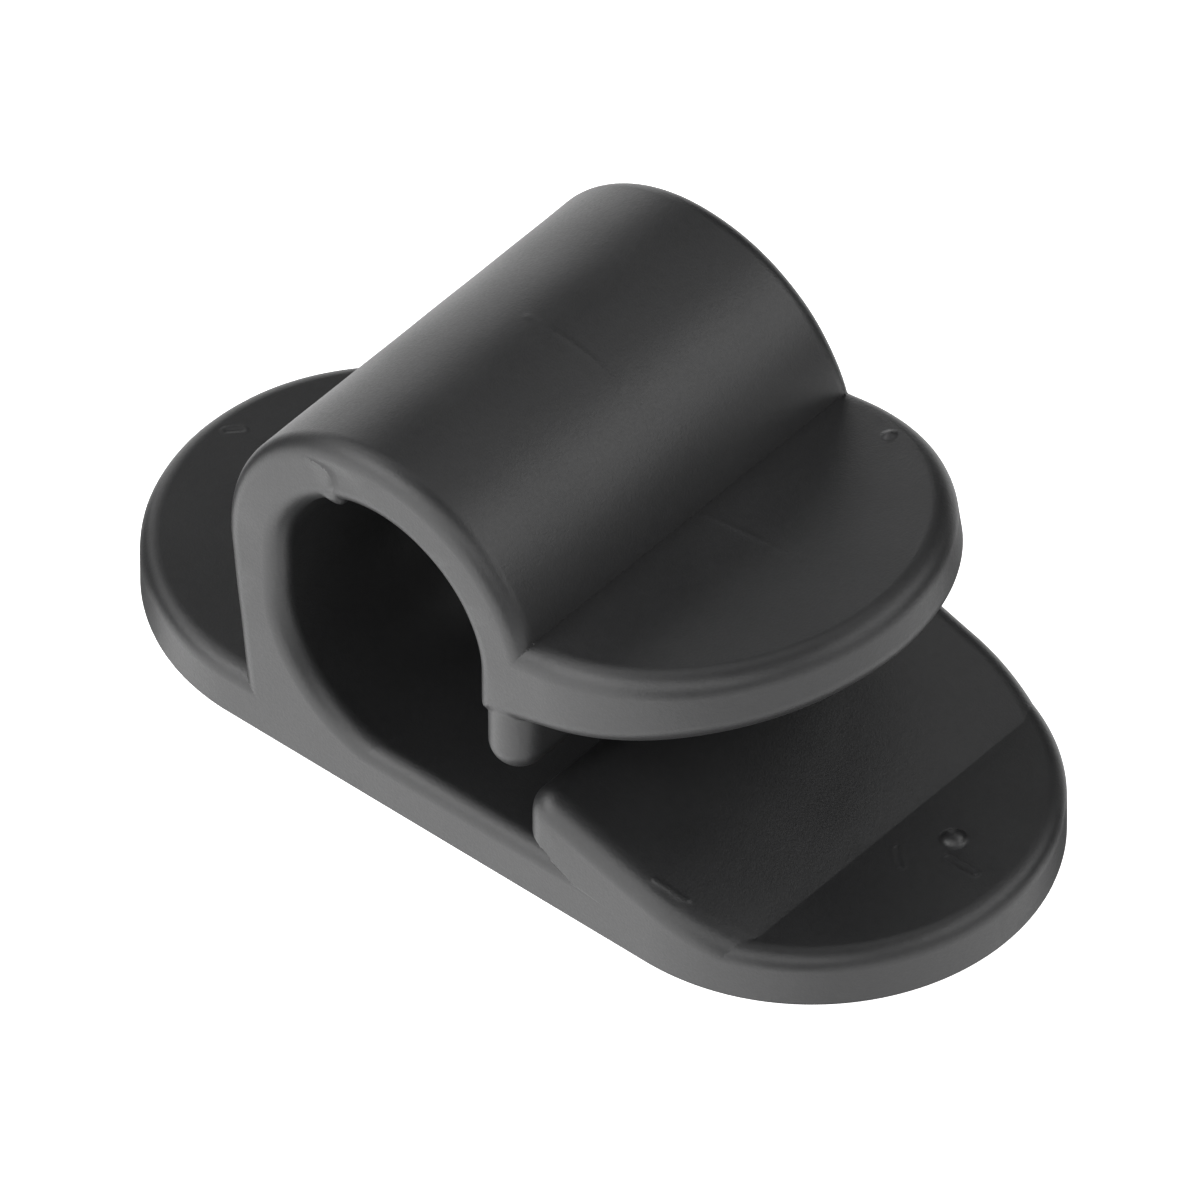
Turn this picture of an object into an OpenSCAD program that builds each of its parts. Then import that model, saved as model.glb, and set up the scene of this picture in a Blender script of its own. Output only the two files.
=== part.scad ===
// One-piece moulded cable clip: a flat foot, an arched channel for the cable, and a springy finger
// tab whose catch rib closes on a barbed ramp. X runs along the foot, towards the open side.
// Y runs along the cable. Z is up, and the origin is the middle of the underside.

/* [Foot] */
// Length of the foot, over both round ends
base_l = 25.4; // [22:0.1:32]
// Width of the foot, and of the arch and the tab above it
base_w = 12.2; // [9:0.1:16]
// Thickness of the foot
base_t = 1.55; // [1.3:0.05:2.2]
// Rounding of every moulded rim
rim_r = 0.5; // [0.2:0.05:0.6]

/* [Cable channel] */
// Diameter of the channel's round top
channel_d = 6.1; // [5:0.1:7]
// Distance of the channel's axis from the middle of the foot, towards the closed side
channel_offset = 1.85; // [0.5:0.05:2.5]
// Height of the channel's axis above the underside
channel_h = 6.2; // [5.6:0.1:7]
// Thickness of the arch's wall
wall_t = 1.8; // [1.4:0.05:2.2]
// Radius of the channel's lower corner, where the closed wall runs into the floor
corner_r = 3.4; // [2.5:0.1:3.6]
// Lean of the closed wall's outer face, in degrees
wall_lean = 6; // [2:1:9]

/* [Finger tab] */
// Length of the tab, from the channel's wall to its tip
tab_l = 8.3; // [7.5:0.1:10]
// Thickness of the tab at the channel's wall
tab_t = 2.6; // [2.2:0.1:3]
// Thickness of the tab at its tip
tip_t = 1.65; // [1.4:0.05:2]
// Height of the tab's middle at the channel's wall
tab_h = 6.2; // [6:0.1:6.8]
// Upward tilt of the tab, in degrees
tab_tilt = 10; // [4:1:14]

/* [Catch] */
// Thickness of the rib that hangs below the tab
rib_t = 1.5; // [1:0.1:1.8]
// Height of the rib's round lower edge above the underside
rib_h = 3.3; // [3:0.1:4.4]
// Distance that each end of the rib stands back from the clip's side
rib_inset = 0.05; // [0.05:0.05:1]
// Distance of the barb's nose outwards from the rib, between their centres
nose_offset = 1.64; // [1.2:0.02:2.4]
// Height of the ramp's upper end, over the barb's nose, above the underside
nose_h = 3.22; // [2.8:0.02:3.6]
// Radius of the barb's round nose
nose_r = 0.9; // [0.6:0.05:1.1]
// Angle of the barb's undercut face above the floor, in degrees
undercut = 27; // [20:1:35]
// Length of the flat landing between the foot of the ramp and the open end
landing_l = 3.6; // [2.5:0.1:5]

/* [Moulding marks] */
// Diameter of the small pip on the landing
pip_d = 0.45; // [0.3:0.05:0.8]
// Height of the pip on the landing
pip_h = 0.19; // [0.05:0.01:0.25]
// Distance of the landing's pip from the open end of the foot
pip_back = 2.25; // [1.5:0.05:2.5]
// Distance of the landing's pip from the middle line, away from the front
pip_aside = 0.7; // [0:0.1:3]
// Diameter of the fine pip on the tab
tab_pip_d = 0.36; // [0.2:0.02:0.6]
// Height of the pip on the tab
tab_pip_h = 0.12; // [0.04:0.01:0.16]
// Distance of the tab's pip from the tip of the tab
tab_pip_back = 4.5; // [3:0.1:6]
// Distance of the tab's pip from the tab's back edge
tab_pip_edge = 1; // [0.8:0.1:3]

/* [Hidden] */
$fn = 96;
moulded_black = "#38393b";
past = 1;

// Small depth by which one moulded round runs into the next
bite = 0.03;
// Small set-back that keeps the sides of joined bodies off one plane
set_back = 0.03;
// Height by which the tab's lower part reaches up into its upper part
tab_lap = 0.15;
// Height at which the ends that are buried in the foot stop
root_z = base_t / 3;

half_w = base_w / 2;
arch_w = base_w - 2 * set_back;
tab_w = arch_w - 2 * set_back;
tab_under_w = tab_w - 2 * set_back;
end_x = base_l / 2 - half_w;

channel_r = channel_d / 2;
arch_r = channel_r + wall_t;
channel_at = [-channel_offset, channel_h];
corner_at = [channel_at.x - channel_r + corner_r, base_t - bite + corner_r];
corner_turn = 120;

// The closed wall leaves the arch at this angle and runs down into the foot
wall_turn = 180 + wall_lean;
wall_out = [cos(wall_turn), sin(wall_turn)];
wall_l = (channel_h - arch_r * sin(wall_lean) - root_z) / cos(wall_lean);

// The tab has its own frame: x along the tab from the channel's wall, y through its thickness
tab_at = [channel_at.x + channel_r, tab_h];

// The ramp falls from the top of the nose to the inner edge of the landing
rib_at = [channel_at.x + channel_r + set_back + rib_t / 2, rib_h + rib_t / 2];
nose_at = [rib_at.x + nose_offset, nose_h - nose_r];
ramp_foot = [base_l / 2 - landing_l, base_t];
ramp_slope = (nose_h - base_t) / (ramp_foot.x - nose_at.x);

// The undercut face runs this way, and passes the sloping nose at this distance from its middle
undercut_way = [cos(undercut), -sin(undercut)];
undercut_side = [-sin(undercut), -cos(undercut)];
nose_reach = nose_r * norm([undercut_side.x - ramp_slope * undercut_side.y, undercut_side.y]);
undercut_at = nose_at + (nose_reach - 2 * bite) * undercut_side;

// Stands the side view up: its x and y become X and Z, and it is swept along Y
module upright() rotate([90, 0, 0]) children();

// Turns a section about the frame's axis, from the frame's x direction on or, below zero, back
module turned(angle) rotate_extrude(angle = angle) children();

// Runs a section straight on from where a turn ends
module run_on(length)
    rotate([90, 0, 0])
        translate([0, 0, -length])
            linear_extrude(length) children();

// Both halves of a section that is the same on either side of its y axis
module halves() for (side = [0, 1]) mirror([side, 0]) children();

// What a rounded rim takes off the corner of a section, with the corner at the frame's origin
module rim_loss()
    difference() {
        translate([-rim_r, -rim_r]) square(rim_r + past);
        translate([-rim_r, -rim_r]) circle(rim_r);
    }

// Section out to radius r, as wide as w, with round outer rims
module band(r, w)
    difference() {
        translate([0, -w / 2]) square([r, w]);
        for (side = [0, 1]) mirror([0, side]) translate([r, w / 2]) rim_loss();
    }

// Section of a hollow out to radius r, flared so that the rims it leaves are round
module hollow(r, from = 0) {
    rim_y = arch_w / 2 - rim_r + bite;
    difference() {
        translate([from, -half_w - past]) square([r + rim_r - from, base_w + 2 * past]);
        translate([r, -rim_y]) square([rim_r + past, 2 * rim_y]);
        for (side = [-1, 1]) translate([r + rim_r, side * rim_y]) circle(rim_r);
    }
}

// Half of a plate's section, with a round upper corner
module plate_half(half, thick)
    difference() {
        translate([0, -thick]) square([half, thick]);
        translate([half, 0]) rim_loss();
    }

// Plate with a soft upper rim: top on z = 0, straight from x = from to x = to, then a half round
module soft_plate(from, to, half, thick) {
    translate([to, 0, 0]) rotate([0, 0, -90]) turned(180) plate_half(half, thick);
    translate([from, 0, 0])
        rotate([90, 0, 90])
            linear_extrude(to - from) halves() plate_half(half, thick);
}

// Shears a body so that its height grows by slope along x
module sheared(slope)
    multmatrix([
        [1, 0, 0, 0],
        [0, 1, 0, 0],
        [slope, 0, 1, 0]
    ]) children();

module foot()
    translate([0, 0, base_t])
        for (side = [0, 1]) mirror([side, 0, 0]) soft_plate(0, end_x, half_w, base_t);

// Ramp and nose as a level plate with a round inner end
module level_barb() {
    soft_plate(nose_at.x, end_x, arch_w / 2, nose_h);
    translate([nose_at.x, 0, -nose_r])
        upright() rotate(90) turned(180) band(nose_r, arch_w);
}

// Barb: the level plate sheared down to the landing, and cut back below by the undercut face
module barb() {
    way_in = (undercut_at.y - root_z) / sin(undercut);
    way_out = nose_r + past;
    far = [base_l / 2 + past, nose_h + past];
    intersection() {
        translate([0, 0, base_t + ramp_slope * ramp_foot.x])
            sheared(-ramp_slope) level_barb();
        upright()
            linear_extrude(base_w + 2 * past, center = true)
                polygon([
                    undercut_at - way_out * undercut_way,
                    undercut_at + way_in * undercut_way,
                    [far.x, root_z],
                    far,
                    [undercut_at.x - way_out, far.y]
                ]);
    }
}

// Arch over the cable and the closed wall below it, before the channel is cut
module arch_block()
    translate(channel_at) rotate(wall_turn) {
        turned(-wall_turn) band(arch_r, arch_w);
        run_on(wall_l) band(arch_r, arch_w);
    }

// Lower part of the tab, which rises towards the tip, up to the given height above the tab's middle
module tab_underside(straight_l, top)
    intersection() {
        sheared((tab_t - tip_t) / tab_l)
            translate([0, 0, -tab_t / 2])
                mirror([0, 0, 1])
                    soft_plate(-wall_t, straight_l, tab_under_w / 2, tab_t);
        translate([-wall_t - past, -half_w, top - 2 * tab_t])
            cube([tab_l + wall_t + 2 * past, base_w, 2 * tab_t]);
    }

// Tab in its own frame: a level upper part, and a lower part that makes it thinner towards the tip
module finger_tab() {
    straight_l = tab_l - tab_w / 2;
    upper_t = tip_t - rim_r;
    rotate([-90, 0, 0]) {
        translate([0, 0, tab_t / 2]) soft_plate(-wall_t, straight_l, tab_w / 2, upper_t);
        tab_underside(straight_l, tab_t / 2 - upper_t + tab_lap);
    }
}

// Room for the cable: a round top, straight sides, and a wide round lower corner on the closed side
module cable_channel() {
    translate(channel_at) {
        turned(180) hollow(channel_r);
        rotate(180) run_on(channel_at.y - corner_at.y) hollow(channel_r, -channel_r / 2);
    }
    translate([channel_at.x, 0])
        run_on(channel_at.y) hollow(channel_r, corner_at.x - channel_at.x);
    translate(corner_at) rotate(180) turned(corner_turn) hollow(corner_r);
}

// Half of the catch rib's section: straight above, round below
module rib_half() {
    square([rib_t / 2, tab_h - rib_at.y]);
    intersection() {
        circle(rib_t / 2);
        translate([0, -rib_t]) square(rib_t);
    }
}

module catch_rib() {
    reach = half_w - rib_inset - rib_t / 2;
    translate(rib_at) {
        linear_extrude(2 * reach, center = true) halves() rib_half();
        for (side = [0, 1]) mirror([0, 0, side])
            translate([0, 0, reach]) rotate([-90, 0, 0]) rotate(180) turned(180) rib_half();
    }
}

// Small dome left by the mould on a face at z = 0
module pip(d, h) {
    r = (pow(d / 2, 2) + pow(h, 2)) / (2 * h);
    translate([0, 0, h - r]) sphere(r);
}

module landing_pip()
    translate([base_l / 2 - pip_back, pip_aside, base_t]) pip(pip_d, pip_h);

// Lies on the tab's upper face, in the tab's frame
module tab_pip()
    translate([tab_l - tab_pip_back, tab_t / 2, tab_pip_edge - tab_w / 2])
        rotate([-90, 0, 0]) pip(tab_pip_d, tab_pip_h);

module barbed_foot() {
    foot();
    barb();
    landing_pip();
}

// Arch and tab in one piece, with the cable's channel cut through them
module spring_arch()
    difference() {
        union() {
            arch_block();
            translate(tab_at) rotate(tab_tilt) {
                finger_tab();
                tab_pip();
            }
        }
        cable_channel();
    }

module clip()
    color(moulded_black) {
        barbed_foot();
        upright() {
            spring_arch();
            catch_rib();
        }
    }

clip();
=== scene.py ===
import math

import bmesh
import bpy
import numpy as np
from mathutils import Matrix, Vector


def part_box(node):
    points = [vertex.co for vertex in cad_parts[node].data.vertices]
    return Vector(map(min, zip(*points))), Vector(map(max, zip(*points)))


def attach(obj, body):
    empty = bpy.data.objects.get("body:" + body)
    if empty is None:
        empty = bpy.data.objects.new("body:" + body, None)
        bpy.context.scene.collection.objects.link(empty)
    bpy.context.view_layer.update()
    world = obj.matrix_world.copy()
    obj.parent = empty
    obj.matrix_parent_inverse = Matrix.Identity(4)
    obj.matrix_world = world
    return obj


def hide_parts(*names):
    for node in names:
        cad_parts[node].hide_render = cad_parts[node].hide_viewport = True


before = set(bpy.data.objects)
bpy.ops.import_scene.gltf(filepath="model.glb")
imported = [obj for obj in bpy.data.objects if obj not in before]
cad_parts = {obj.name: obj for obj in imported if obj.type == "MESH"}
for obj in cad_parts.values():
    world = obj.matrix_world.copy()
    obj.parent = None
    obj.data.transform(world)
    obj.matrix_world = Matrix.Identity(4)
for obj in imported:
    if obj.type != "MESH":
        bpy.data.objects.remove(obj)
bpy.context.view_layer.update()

# The shape is worked on in millimetres, and turned into metres at the end.
MM = 0.001

# Skin of the moulding: grid step, rounds of fitting to the shape, longest move in a round, triangles kept.
SKIN_STEP = 0.06
FIT_ROUNDS = 2
FIT_REACH = 0.06
SKIN_TRIANGLES = 170_000

# Slope is measured over this half step, and counts as at least this steep where points are fitted. A corner
# of the mesh takes the slope in the middle of its face if that turns away from its own by more than this
# angle.
PROBE_STEP = 0.008
LEAST_STEEP = 0.5
CREASE_COSINE = math.cos(math.radians(25))

# Places and sizes on the part, as its source has them.
HALF_L, HALF_W, FOOT_T = 12.7, 6.1, 1.55
END_X = HALF_L - HALF_W
BORE_X, BORE_Z, BORE_R, WALL_T = -1.85, 6.2, 3.05, 1.8
ARCH_R = BORE_R + WALL_T
WALL_TURN = math.radians(186)
CORNER_X, CORNER_Z, CORNER_R = -1.5, 4.92, 3.4
TAB_X, TAB_Z, TAB_TILT = 1.2, 6.2, math.radians(10)
TAB_L, TAB_T, TIP_T = 8.3, 2.6, 1.65
RIB_X, RIB_Z, RIB_R, RIB_REACH = 1.98, 4.05, 0.75, 5.3
NOSE_X, NOSE_TOP, NOSE_R = 3.62, 3.22, 0.9
RAMP_FOOT_X = 9.1
UNDERCUT, UNDERCUT_X, UNDERCUT_Z = math.radians(27), 3.276, 1.644

# Pips: the landing's is a little wider and the tab's a little lower than in the source.
LANDING_PIP, LANDING_PIP_R = (10.45, 0.7, 1.39), 0.35
TAB_PIP, TAB_PIP_R = (4.73, 5.04, 8.02), 0.2

# Rounding of each rim and of the tab's heel. The source has one radius for all rims.
FOOT_RIM_R, RAMP_RIM_R, RING_RIM_R = 0.5, 0.65, 0.55
TAB_RIM_R, TAB_LOWER_RIM_R, TAB_HEEL_R = 0.6, 0.55, 0.35

# Fine rounding that the source leaves out: sharp edges, the far side of the rib's root, and the pips' roots.
EDGE_R = 0.08
ROOT_R = 0.25
PIP_ROOT_R = 0.06

# Depth to which the arch's end is buried in the tab.
ARCH_END_DROP = 0.7


def smoothstep(low, high, value):
    """Soft step from zero at low to one at high."""
    t = np.clip((value - low) / (high - low), 0, 1)
    return t * t * (3 - 2 * t)


def hump(distance, width):
    """One at no distance, and next to nothing at twice the width."""
    return np.exp(-((distance / width) ** 2))


def largest(*depths):
    return np.maximum.reduce(depths)


def smallest(*depths):
    return np.minimum.reduce(depths)


def round_max(a, b, radius):
    """What two shapes share, with a round edge between them."""
    corner = np.hypot(np.maximum(a + radius, 0), np.maximum(b + radius, 0))
    return np.minimum(np.maximum(a, b), -radius) + corner


def round_min(a, b, radius):
    """Two shapes as one, with a hollow fillet between them."""
    return -round_max(-a, -b, radius)


# Each shape below is a depth in millimetres: below zero inside it, above zero outside.


def round_ended(x, y, end):
    return np.hypot(np.maximum(x - end, 0), y) - HALF_W


def foot(x, y, z):
    return round_max(round_ended(np.abs(x), y, END_X), z - FOOT_T, FOOT_RIM_R)


def barb(x, y, z):
    slope = (NOSE_TOP - FOOT_T) / (RAMP_FOOT_X - NOSE_X)
    above = z - FOOT_T + slope * (x - RAMP_FOOT_X)
    side = round_max(NOSE_X - NOSE_R - x, above, NOSE_R)
    plate = round_max(side, round_ended(x, y, END_X), RAMP_RIM_R)
    below = (UNDERCUT_X - x) * math.sin(UNDERCUT) + (UNDERCUT_Z - z) * math.cos(UNDERCUT)
    return round_max(plate, below, EDGE_R)


def channel(x, z):
    """Room for the cable: round top, straight sides, and a wide round corner on the closed side."""
    across, up = x - BORE_X, z - BORE_Z
    upper = np.where(up > 0, np.hypot(across, up), np.abs(across)) - BORE_R
    corner = np.hypot(np.minimum(x - CORNER_X, 0), z - CORNER_Z) - CORNER_R
    return np.where(z > CORNER_Z, upper, np.maximum(corner, across - BORE_R))


def ring(x, y, z):
    """Arch over the cable, and the closed wall below it."""
    across, up = x - BORE_X, z - BORE_Z
    out = across * math.cos(WALL_TURN) + up * math.sin(WALL_TURN)
    down = up * math.cos(WALL_TURN) - across * math.sin(WALL_TURN)
    outer = np.where((down > 0) & (across < 0), out, np.hypot(across, up)) - ARCH_R
    outer = np.maximum(outer, np.minimum(across, -up - ARCH_END_DROP))
    past_face = np.abs(y) - HALF_W
    outside = round_max(outer, past_face, RING_RIM_R)
    return np.maximum(outside, round_max(-channel(x, z), past_face, RING_RIM_R))


def on_tab(x, z):
    """Place along the tab from its root, and up from its middle."""
    along = (x - TAB_X) * math.cos(TAB_TILT) + (z - TAB_Z) * math.sin(TAB_TILT)
    return along, (z - TAB_Z) * math.cos(TAB_TILT) - (x - TAB_X) * math.sin(TAB_TILT)


def tab(x, y, z):
    along, up = on_tab(x, z)
    below = along * (TAB_T - TIP_T) / TAB_L - TAB_T / 2 - up
    past_edge = round_ended(along, y, TAB_L - HALF_W)
    upper = round_max(up - TAB_T / 2, past_edge, TAB_RIM_R)
    underside = round_max(below, -channel(x, z), TAB_HEEL_R)
    return largest(upper, round_max(underside, past_edge, TAB_LOWER_RIM_R), -WALL_T - along)


def rib(x, y, z):
    past_end = np.maximum(np.abs(y) - RIB_REACH, 0)
    below = np.minimum(z - RIB_Z, 0)
    return np.maximum(np.sqrt((x - RIB_X) ** 2 + below**2 + past_end**2) - RIB_R, z - TAB_Z)


def ball(points, middle, radius):
    return np.linalg.norm(points - np.array(middle), axis=1) - radius


def clip_depth(points):
    """Depth of points in the clip as it leaves a perfect mould."""
    x, y, z = points.T
    behind_rib = smoothstep(RIB_X, RIB_X + RIB_R, x) * smoothstep(RIB_REACH, RIB_REACH - RIB_R, np.abs(y))
    ribbed_tab = round_min(tab(x, y, z), rib(x, y, z), EDGE_R + ROOT_R * behind_rib)
    body = smallest(foot(x, y, z), barb(x, y, z), ring(x, y, z), ribbed_tab)
    body = round_min(body, ball(points, LANDING_PIP, LANDING_PIP_R), PIP_ROOT_R)
    body = round_min(body, ball(points, TAB_PIP, TAB_PIP_R), PIP_ROOT_R)
    return round_max(body, -z, EDGE_R)


# Marks are not felt farther away than this.
MARK_REACH = 0.4


def distance_to_line(points, corners):
    """Distance of each point to a line through the corners, up to the reach of a mark."""
    corners = np.array(corners)
    best = np.full(len(points), MARK_REACH)
    low, high = corners.min(axis=0) - MARK_REACH, corners.max(axis=0) + MARK_REACH
    near = np.flatnonzero(((points > low) & (points < high)).all(axis=1))
    for start, end in zip(corners[:-1], corners[1:]):
        from_start, way = points[near] - start, end - start
        along = np.clip(from_start @ way / (way @ way), 0, 1)
        away = np.linalg.norm(from_start - along[:, None] * way, axis=1)
        best[near] = np.minimum(best[near], away)
    return best


# Knit line on the arch's front face: radius from the bore's middle and angle of its points.
KNIT_R = (3.30, 3.50, 3.70, 3.96, 4.09, 4.20, 4.34, 4.44)
KNIT_ANGLE = (112.0, 112.4, 110.8, 110.9, 111.9, 114.0, 117.8, 121.8)

# Its fine ridge, the dent right of it (depth, width to its deepest place and to its end), and the lip below.
RIDGE_HEIGHT, RIDGE_W = 0.012, 0.06
DENT_DEPTH, DENT_DEEPEST, DENT_END = 0.035, 0.25, 1.2
LIP_HEIGHT, LIP_Y, LIP_W = 0.16, -5.85, 0.25

# Where they fade in, from nothing of them to all: along y, by radius, and by angle.
KNIT_FADE_Y, KNIT_FADE_INNER, KNIT_FADE_OUTER = (-5.3, -5.9), (3.1, 3.5), (4.5, 4.2)
DENT_FADE = (3.3, 4.1)
LIP_FADE_LEFT, LIP_FADE_RIGHT, LIP_FADE_UP = (123.0, 116.0), (111.5, 114.5), (3.45, 3.2)


def knit_line(x, y, z):
    """Face right of the knit line falls back a little and comes forward again; a lip hangs below it."""
    radius = np.hypot(x - BORE_X, z - BORE_Z)
    angle = np.degrees(np.arctan2(z - BORE_Z, x - BORE_X))
    right = np.radians(np.interp(radius, KNIT_R, KNIT_ANGLE) - angle) * radius
    on_face = smoothstep(*KNIT_FADE_Y, y)
    on_face *= smoothstep(*KNIT_FADE_INNER, radius) * smoothstep(*KNIT_FADE_OUTER, radius)
    dent = smoothstep(0, DENT_DEEPEST, right) * smoothstep(DENT_END, DENT_DEEPEST, right)
    dent *= smoothstep(*DENT_FADE, radius)
    along_lip = smoothstep(*LIP_FADE_LEFT, angle) * smoothstep(*LIP_FADE_RIGHT, angle)
    lip = along_lip * hump(y - LIP_Y, LIP_W) * smoothstep(*LIP_FADE_UP, radius)
    return on_face * (RIDGE_HEIGHT * hump(right, RIDGE_W) - DENT_DEPTH * dent) + LIP_HEIGHT * lip


# Other marks: the corners of their lines, and in LINE_MARKS the height and width of each.
SCUFF = ((6.50, -5.617, 2.342), (6.84, -5.541, 2.238), (7.19, -5.506, 2.132), (7.37, -5.45, 2.08))
SCUFF_PITS = ((6.62, -5.74, 2.26), (6.95, -5.68, 2.16), (7.25, -5.66, 2.06))
SCRATCHES = (
    ((10.775, 0.11, FOOT_T), (11.2, 0.10, FOOT_T), (11.594, 0.138, FOOT_T)),
    ((9.631, -0.421, FOOT_T), (9.87, -0.66, FOOT_T), (10.084, -0.842, FOOT_T)),
    ((-11.95, 0.05, FOOT_T), (-11.70, 0.32, FOOT_T)),
)
TAB_LINE = ((2.97, 0.33, 7.83), (4.40, 0.30, 8.08), (6.06, 0.19, 8.37))
ARCH_LINE_Y, ARCH_LINE_TURNS = 0.25, np.radians(range(62, 102, 4))
ARCH_LINE = [
    (BORE_X + ARCH_R * math.cos(turn), ARCH_LINE_Y, BORE_Z + ARCH_R * math.sin(turn))
    for turn in ARCH_LINE_TURNS
]
LINE_MARKS = (
    (SCUFF, 0.026, 0.07),
    (SCUFF_PITS, -0.006, 0.08),
    (TAB_LINE, 0.012, 0.09),
    (ARCH_LINE, 0.010, 0.09),
)

# A scratch is a groove between two raised edges.
GROOVE_DEPTH, GROOVE_W = 0.011, 0.06
GROOVE_EDGE_HEIGHT, GROOVE_EDGE_W, GROOVE_EDGE_AWAY = 0.010, 0.05, 0.11


def small_marks(points):
    """Scuff on the ramp's rim, faint mould lines, and fine scratches."""
    total = np.zeros(len(points))
    for line, height, width in LINE_MARKS:
        total += height * hump(distance_to_line(points, line), width)
    for scratch in SCRATCHES:
        away = distance_to_line(points, scratch)
        total += GROOVE_EDGE_HEIGHT * hump(away - GROOVE_EDGE_AWAY, GROOVE_EDGE_W)
        total -= GROOVE_DEPTH * hump(away, GROOVE_W)
    return total


# Slow waves of the moulded faces: their height, each wave's way and turns per millimetre, and the heights
# above the floor between which they rise.
WAVE_HEIGHT = 0.002
WAVES = (
    ((0.8, 0.5, 0.3), 0.31),
    ((-0.4, 0.9, 0.2), 0.43),
    ((0.2, -0.5, 0.8), 0.37),
    ((0.6, 0.1, -0.8), 0.53),
)
WAVES_FROM_Z, WAVES_FULL_Z = 0.1, 0.4


def slow_waves(points):
    """Faces of a moulding are never quite flat."""
    height = np.zeros(len(points))
    for phase, (way, rate) in enumerate(WAVES):
        height += WAVE_HEIGHT * np.sin(2 * np.pi * rate * (points @ np.array(way)) + phase)
    return height * smoothstep(WAVES_FROM_Z, WAVES_FULL_Z, points[:, 2])


def skin_depth(points):
    """Depth of points in the clip with the marks of its moulding and use."""
    return clip_depth(points) - knit_line(*points.T) - small_marks(points) - slow_waves(points)


# Four evenly spread ways out of a point, along which the slope is measured.
PROBES = np.array(((1, 1, 1), (1, -1, -1), (-1, 1, -1), (-1, -1, 1)))


def skin_slope(points):
    """Direction straight out of the skin, near the points."""
    depths = sum(np.outer(skin_depth(points + PROBE_STEP * way), way) for way in PROBES)
    return depths / (len(PROBES) * PROBE_STEP)


def unit(vectors):
    return vectors / np.maximum(np.linalg.norm(vectors, axis=1), 1e-9)[:, None]


def fitted(points):
    """Points moved onto the skin."""
    lowest, highest = (np.array(corner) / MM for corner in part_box("clip"))
    for _ in range(FIT_ROUNDS):
        slope = skin_slope(points)
        steep = np.maximum((slope**2).sum(axis=1), LEAST_STEEP**2)
        points = points - slope * np.clip(skin_depth(points) / steep, -FIT_REACH, FIT_REACH)[:, None]
    return np.clip(points, lowest, highest)


def valley_place():
    """Where the arch meets the tab's top, seen from the side."""
    bore_along, bore_up = on_tab(BORE_X, BORE_Z)
    along, up = bore_along + math.sqrt(ARCH_R**2 - (TAB_T / 2 - bore_up) ** 2), TAB_T / 2
    x = TAB_X + along * math.cos(TAB_TILT) - up * math.sin(TAB_TILT)
    return x, TAB_Z + along * math.sin(TAB_TILT) + up * math.cos(TAB_TILT)


def toe_place():
    """Where the closed wall meets the foot's top, seen from the side."""
    return BORE_X + (ARCH_R - (FOOT_T - BORE_Z) * math.sin(WALL_TURN)) / math.cos(WALL_TURN), FOOT_T


# Sharp inner corners, and how near to one a point is drawn onto it.
CREASES = (valley_place(), toe_place())
CREASE_REACH = 0.05


def drawn_to_creases(points):
    """Points next to a sharp inner corner, moved onto it."""
    points = points.copy()
    inside = np.abs(points[:, 1]) < HALF_W - TAB_RIM_R
    for x, z in CREASES:
        near = inside & (np.hypot(points[:, 0] - x, points[:, 2] - z) < CREASE_REACH)
        points[near, 0], points[near, 2] = x, z
    return points


def evaluated_mesh(obj, name):
    """Mesh of an object with its modifiers applied; the object is removed."""
    graph = bpy.context.evaluated_depsgraph_get()
    mesh = bpy.data.meshes.new_from_object(obj.evaluated_get(graph), depsgraph=graph)
    mesh.name = name
    bpy.data.objects.remove(obj)
    return mesh


def scratch_object(mesh):
    obj = bpy.data.objects.new("work", mesh)
    bpy.context.scene.collection.objects.link(obj)
    return obj


def mesh_points(mesh):
    values = np.empty(len(mesh.vertices) * 3, np.float32)
    mesh.vertices.foreach_get("co", values)
    return values.reshape(-1, 3).astype(float)


def set_mesh_points(mesh, points):
    mesh.vertices.foreach_set("co", points.astype(np.float32).ravel())
    mesh.update()


# Corners of CAD faces this near to each other are the same corner.
SEAM_REACH = 0.0005


def closed_copy(node):
    """Copy of a CAD node in millimetres, with the seams of its faces closed."""
    mesh = node.data.copy()
    mesh.transform(Matrix.Scale(1 / MM, 4))
    shape = bmesh.new()
    shape.from_mesh(mesh)
    bmesh.ops.remove_doubles(shape, verts=shape.verts, dist=SEAM_REACH)
    shape.to_mesh(mesh)
    shape.free()
    return mesh


def corner_normals(mesh, points):
    """Normal of each corner of a mesh of triangles: the skin's own, apart on either side of a crease."""
    corners = np.empty(len(mesh.loops), np.int32)
    mesh.loops.foreach_get("vertex_index", corners)
    smooth = unit(skin_slope(points))[corners]
    middles = points[corners].reshape(-1, 3, 3).mean(axis=1)
    of_face = np.repeat(unit(skin_slope(middles)), 3, axis=0)
    creased = (smooth * of_face).sum(axis=1) < CREASE_COSINE
    return np.where(creased[:, None], of_face, smooth)


def moulded_skin(node):
    """One smooth skin over the whole part, with the marks of its moulding and use."""
    work = scratch_object(closed_copy(node))
    grid = work.modifiers.new("grid", "REMESH")
    grid.mode = "VOXEL"
    grid.voxel_size = SKIN_STEP
    mesh = evaluated_mesh(work, "fine_skin")
    set_mesh_points(mesh, drawn_to_creases(fitted(mesh_points(mesh))))

    mesh.calc_loop_triangles()
    work = scratch_object(mesh)
    fewer = work.modifiers.new("fewer", "DECIMATE")
    fewer.ratio = min(1, SKIN_TRIANGLES / len(mesh.loop_triangles))
    fewer.use_collapse_triangulate = True
    skin = evaluated_mesh(work, "clip_skin")
    points = drawn_to_creases(fitted(mesh_points(skin)))
    normals = corner_normals(skin, points)
    set_mesh_points(skin, points * MM)
    skin.shade_smooth()
    skin.normals_split_custom_set(normals)
    return skin


def add_node(tree, kind, **sockets):
    node = tree.nodes.new(kind)
    for name, value in sockets.items():
        node.inputs[name.replace("_", " ")].default_value = value
    return node


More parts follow.
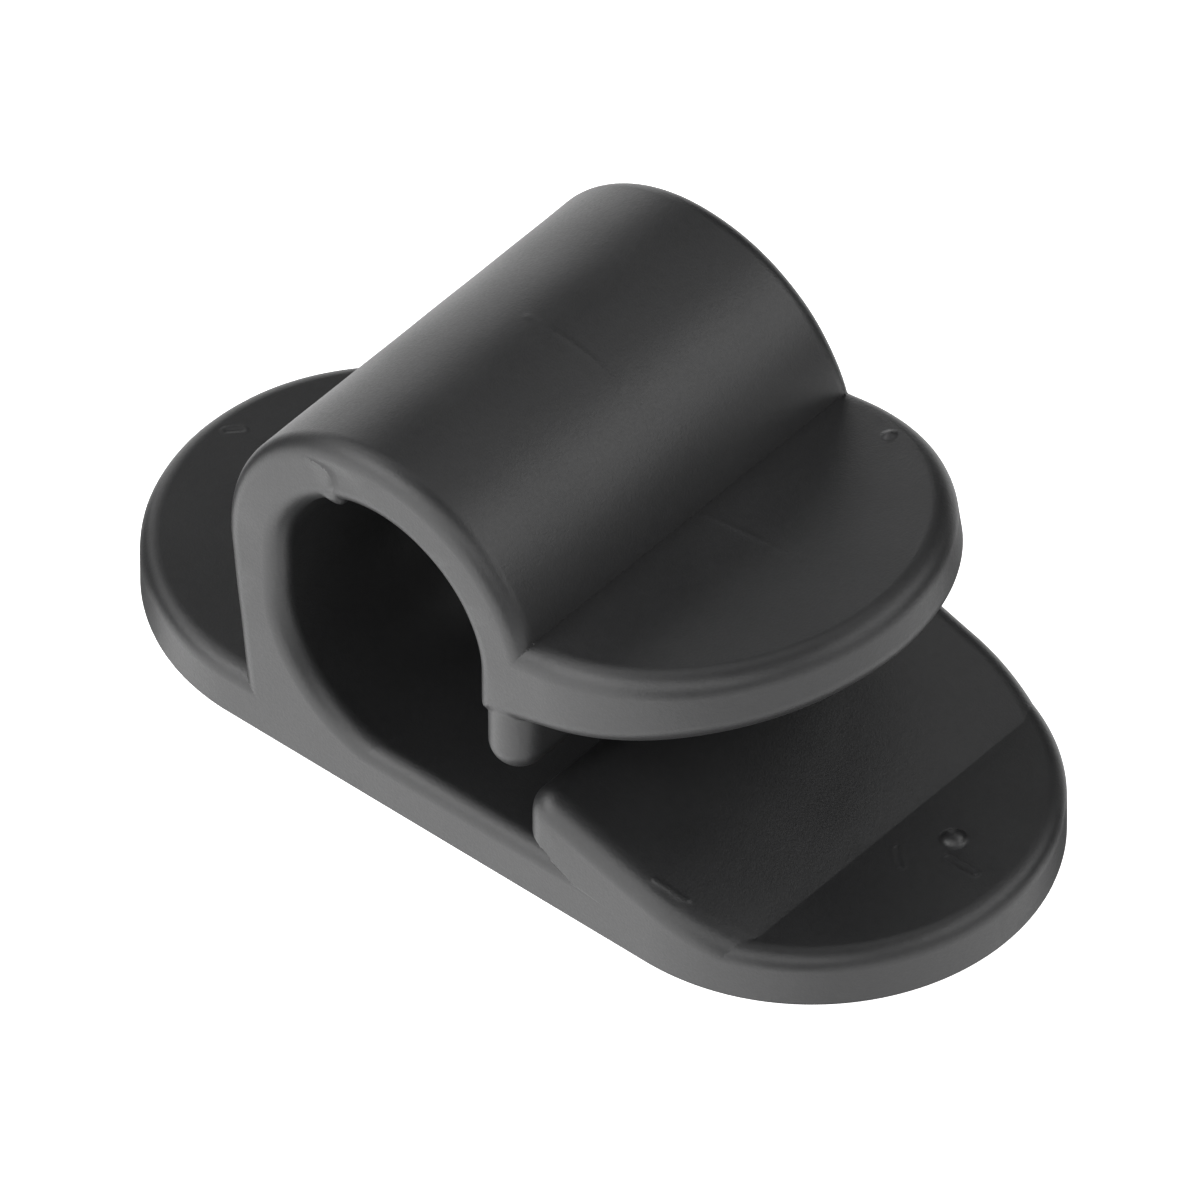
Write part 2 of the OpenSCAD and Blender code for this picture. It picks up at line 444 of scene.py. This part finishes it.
def noise(tree, place, size, detail=2.0, roughness=0.5):
    """Noise whose grains are about that many millimetres wide."""
    node = add_node(tree, "ShaderNodeTexNoise", Scale=1 / (size * MM), Detail=detail, Roughness=roughness)
    tree.links.new(place.outputs["Object"], node.inputs["Vector"])
    return node.outputs["Fac"]


def spread(tree, value, low, high, to_low, to_high):
    """Value stretched from one range to another."""
    node = tree.nodes.new("ShaderNodeMapRange")
    for socket, number in zip(node.inputs[1:5], (low, high, to_low, to_high)):
        socket.default_value = number
    tree.links.new(value, node.inputs[0])
    return node.outputs["Result"]


def combine(tree, operation, first, second):
    """Sum or product of two values, each a number or the output of a node."""
    node = tree.nodes.new("ShaderNodeMath")
    node.operation = operation
    for socket, value in zip(node.inputs, (first, second)):
        if isinstance(value, (int, float)):
            socket.default_value = value
        else:
            tree.links.new(value, socket)
    return node.outputs["Value"]


# Black moulded plastic: two shades of it, how rough its satin face is, and the depth of its grain.
PLASTIC_DARK = (0.0100, 0.0101, 0.0106, 1)
PLASTIC_PALE = (0.0140, 0.0142, 0.0147, 1)
PLASTIC_IOR = 1.55
PLASTIC_ROUGH = (0.38, 0.50)
GRAIN_DEPTH = 0.009
GRAIN_STRENGTH = 0.6

# Its patterns, in millimetres across a patch, and the shares that they have.
CLOUD_SIZE, MOTTLE_SIZE, GRAIN_SIZE = 3.0, 0.22, 0.07
CLOUD_IN_SHADE, MOTTLE_IN_SHADE = 0.5, 0.5
CLOUD_IN_ROUGH, GRAIN_IN_ROUGH = 0.4, 0.6
MOTTLE_IN_HEIGHT = 0.6
NOISE_RANGE = (0.3, 0.7)


def moulded_plastic(name):
    material = bpy.data.materials.new(name)
    material.use_nodes = True
    tree = material.node_tree
    shader = tree.nodes["Principled BSDF"]
    shader.inputs["IOR"].default_value = PLASTIC_IOR
    place = tree.nodes.new("ShaderNodeTexCoord")

    clouds = noise(tree, place, CLOUD_SIZE, detail=3.0)
    mottle = noise(tree, place, MOTTLE_SIZE)
    grain = noise(tree, place, GRAIN_SIZE, roughness=0.6)

    shade = tree.nodes.new("ShaderNodeMix")
    shade.data_type = "RGBA"
    shade.inputs["A"].default_value = PLASTIC_DARK
    shade.inputs["B"].default_value = PLASTIC_PALE
    cloud_tone = spread(tree, clouds, *NOISE_RANGE, 0.0, CLOUD_IN_SHADE)
    mottle_tone = spread(tree, mottle, *NOISE_RANGE, 0.0, MOTTLE_IN_SHADE)
    tree.links.new(combine(tree, "ADD", cloud_tone, mottle_tone), shade.inputs["Factor"])
    tree.links.new(shade.outputs["Result"], shader.inputs["Base Color"])

    cloud_rough = spread(tree, clouds, *NOISE_RANGE, 0.0, CLOUD_IN_ROUGH)
    grain_rough = spread(tree, grain, *NOISE_RANGE, 0.0, GRAIN_IN_ROUGH)
    rough = combine(tree, "ADD", cloud_rough, grain_rough)
    tree.links.new(spread(tree, rough, 0.0, 1.0, *PLASTIC_ROUGH), shader.inputs["Roughness"])

    height = combine(tree, "ADD", grain, combine(tree, "MULTIPLY", mottle, MOTTLE_IN_HEIGHT))
    bump = add_node(tree, "ShaderNodeBump", Strength=GRAIN_STRENGTH, Distance=GRAIN_DEPTH * MM)
    tree.links.new(height, bump.inputs["Height"])
    tree.links.new(bump.outputs["Normal"], shader.inputs["Normal"])
    return material


clip = bpy.data.objects.new("clip_moulding", moulded_skin(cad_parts["clip"]))
bpy.context.scene.collection.objects.link(clip)
clip.data.materials.clear()
clip.data.materials.append(moulded_plastic("moulded_black"))
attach(clip, "root")
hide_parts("clip")


WHITE = (1, 1, 1, 1)

# Floor, a hair below the part: half of its side, drop, colour, roughness, gloss and own glow.
FLOOR_HALF = 3.0
FLOOR_DROP = 0.00001
FLOOR_COLOUR = (0.90, 0.90, 0.90, 1)
FLOOR_ROUGH, FLOOR_GLOSS = 0.9, 0.2
FLOOR_GLOW = 1.05


def pale_floor():
    """White floor that throws no light or shade of its own on the part: the soft boxes do all of that."""
    mesh = bpy.data.meshes.new("floor")
    sides = ((-1, -1), (1, -1), (1, 1), (-1, 1))
    corners = [(x * FLOOR_HALF, y * FLOOR_HALF, -FLOOR_DROP) for x, y in sides]
    mesh.from_pydata(corners, [], [range(len(corners))])
    material = bpy.data.materials.new("floor_white")
    material.use_nodes = True
    shader = material.node_tree.nodes["Principled BSDF"]
    shader.inputs["Base Color"].default_value = FLOOR_COLOUR
    shader.inputs["Roughness"].default_value = FLOOR_ROUGH
    shader.inputs["Specular IOR Level"].default_value = FLOOR_GLOSS
    shader.inputs["Emission Color"].default_value = WHITE
    shader.inputs["Emission Strength"].default_value = FLOOR_GLOW
    mesh.materials.append(material)
    floor = bpy.data.objects.new("floor", mesh)
    floor.visible_diffuse = floor.visible_glossy = floor.visible_shadow = False
    bpy.context.scene.collection.objects.link(floor)


# Soft boxes round the part, which stands on a lit table: the low ones shine through it. Degrees: way round
# from the front towards the right, height, width and tallness; then brightness.
BOX_AWAY = 0.30
SOFT_BOXES = {
    "front_box": (345, 10, 50, 28, 2.4),
    "front_left_box": (325, 30, 34, 24, 3.6),
    "right_box": (90, 13, 60, 24, 0.7),
    "back_left_box": (240, 13, 40, 24, 1.7),
    "high_front_box": (20, 40, 66, 33, 2.2),
    "high_right_box": (125, 42, 56, 33, 2.3),
    "high_left_box": (300, 42, 50, 33, 2.1),
    "top_left_box": (230, 70, 60, 30, 0.9),
    "table_front_box": (335, -35, 90, 66, 2.4),
    "table_right_box": (95, -35, 110, 66, 1.6),
    "table_back_box": (215, -20, 70, 38, 1.6),
}


def soft_box(name, way_round, height, width, tallness, brightness):
    """Light panel that faces the part, unseen itself by the camera."""
    turn, lift = math.radians(way_round), math.radians(height)
    towards = Vector((math.sin(turn) * math.cos(lift), -math.cos(turn) * math.cos(lift), math.sin(lift)))
    data = bpy.data.lights.new(name, "AREA")
    data.shape = "RECTANGLE"
    data.size = 2 * BOX_AWAY * math.tan(math.radians(width / 2))
    data.size_y = 2 * BOX_AWAY * math.tan(math.radians(tallness / 2))
    data.energy = brightness * math.pi * data.size * data.size_y
    light = bpy.data.objects.new(name, data)
    light.location = towards * BOX_AWAY
    light.rotation_mode = "QUATERNION"
    light.rotation_quaternion = towards.to_track_quat("Z", "Y")
    light.visible_camera = False
    bpy.context.scene.collection.objects.link(light)


# Even light of the room.
ROOM_BRIGHTNESS = 0.02


def room_light():
    world = bpy.data.worlds.new("room")
    bpy.context.scene.world = world
    world.use_nodes = True
    background = world.node_tree.nodes["Background"]
    background.inputs["Color"].default_value = WHITE
    background.inputs["Strength"].default_value = ROOM_BRIGHTNESS


pale_floor()
room_light()
for box_name, facts in SOFT_BOXES.items():
    soft_box(box_name, *facts)
bpy.context.scene.view_settings.view_transform = "Standard"


# Camera: round to the right of the front, from above, from far away. Metres, but millimetres for the lens
# and its sensor.
CAMERA_ROUND = math.radians(40.854)
CAMERA_ABOVE = math.radians(43.787)
CAMERA_ROLL = math.radians(-0.164)
CAMERA_AWAY = 1.016
CAMERA_LENS, CAMERA_SENSOR = 1276.65, 36
CAMERA_NEAR, CAMERA_FAR = 0.01, 10
AIM_HEIGHT = 0.0045
AIM_RIGHT, AIM_UP = -0.00004274, -0.00078644


def photo_camera():
    sin_a, cos_a = math.sin(CAMERA_ROUND), math.cos(CAMERA_ROUND)
    sin_e, cos_e = math.sin(CAMERA_ABOVE), math.cos(CAMERA_ABOVE)
    back = Vector((sin_a * cos_e, -cos_a * cos_e, sin_e))
    right = Matrix.Rotation(CAMERA_ROLL, 3, back) @ Vector((cos_a, sin_a, 0))
    up = back.cross(right)
    data = bpy.data.cameras.new("camera")
    data.sensor_width = CAMERA_SENSOR
    data.lens = CAMERA_LENS
    data.clip_start, data.clip_end = CAMERA_NEAR, CAMERA_FAR
    camera = bpy.data.objects.new("camera", data)
    camera.rotation_mode = "QUATERNION"
    camera.rotation_quaternion = Matrix((right, up, back)).transposed().to_quaternion()
    camera.location = Vector((0, 0, AIM_HEIGHT)) + right * AIM_RIGHT + up * AIM_UP + back * CAMERA_AWAY
    bpy.context.scene.collection.objects.link(camera)
    bpy.context.scene.camera = camera


photo_camera()
